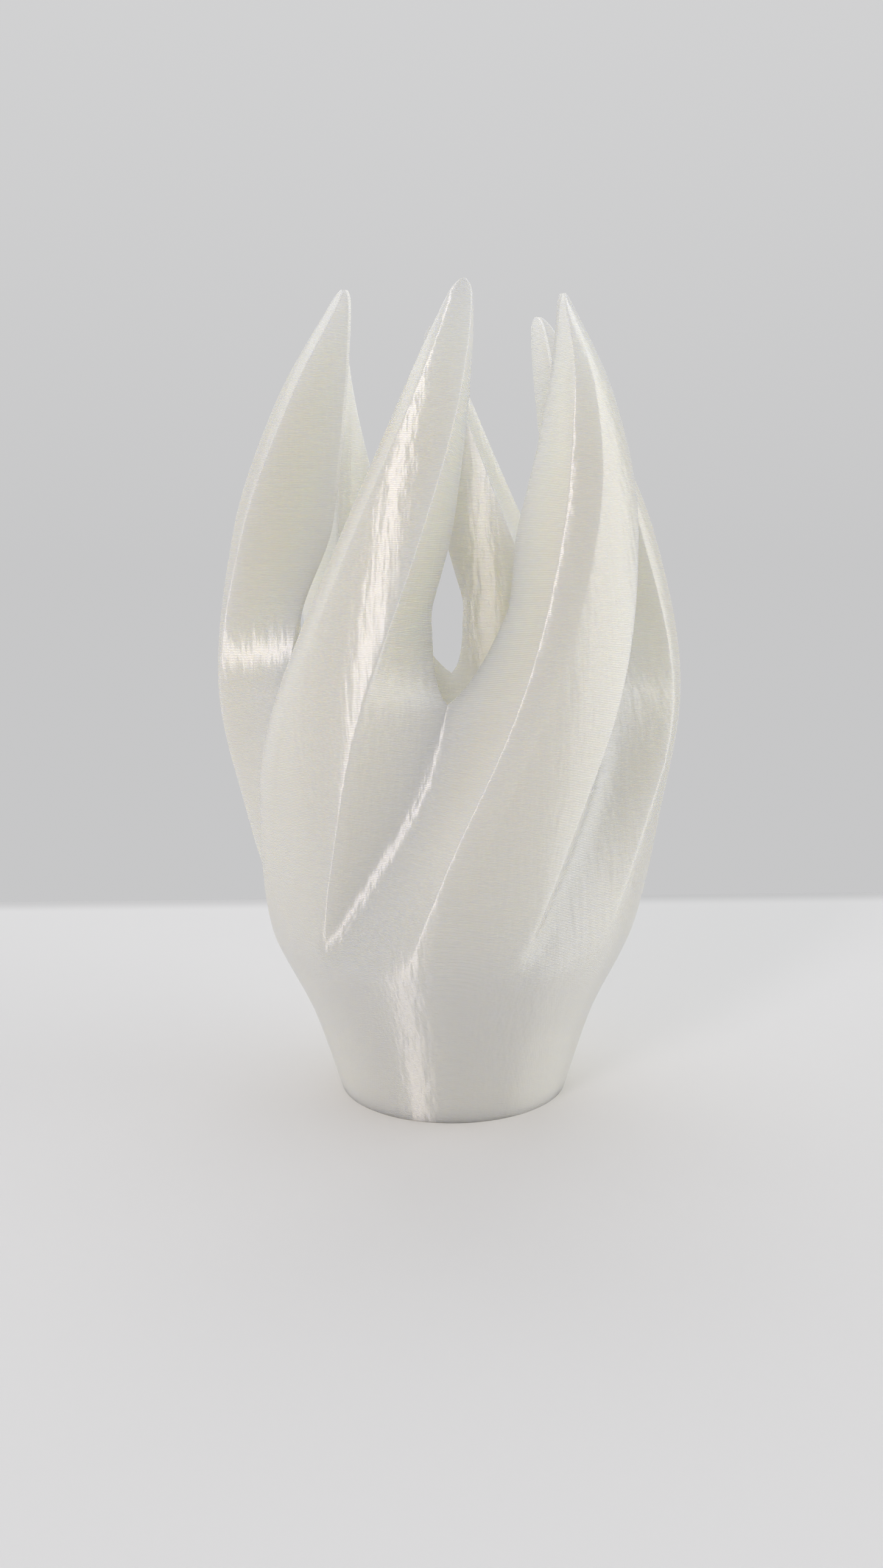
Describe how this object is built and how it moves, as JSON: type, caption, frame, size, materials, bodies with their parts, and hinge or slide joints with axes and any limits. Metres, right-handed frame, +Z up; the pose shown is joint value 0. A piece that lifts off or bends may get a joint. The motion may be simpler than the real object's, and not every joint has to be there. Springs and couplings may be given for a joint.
{
  "type": "twisted petal candle holder",
  "caption": "Hollow flower-bud holder on a round foot: twisted petals part above the middle and curl in to free pointed tips.",
  "frame": {"origin": "centre of the foot, on its resting face", "axes": "+Z up along the twist axis, from the foot to the petal tips; -Y is the front"},
  "size_m": [0.0604, 0.0576, 0.1026],
  "materials": {
    "silk_filament": "pearl silk PLA with fine level layer lines"
  },
  "bodies": {
    "root": {"petal_1": "silk_filament", "petal_2": "silk_filament", "petal_3": "silk_filament", "petal_4": "silk_filament", "petal_5": "silk_filament", "petal_6": "silk_filament", "floor_disc": "silk_filament"}
  },
  "joints": []
}
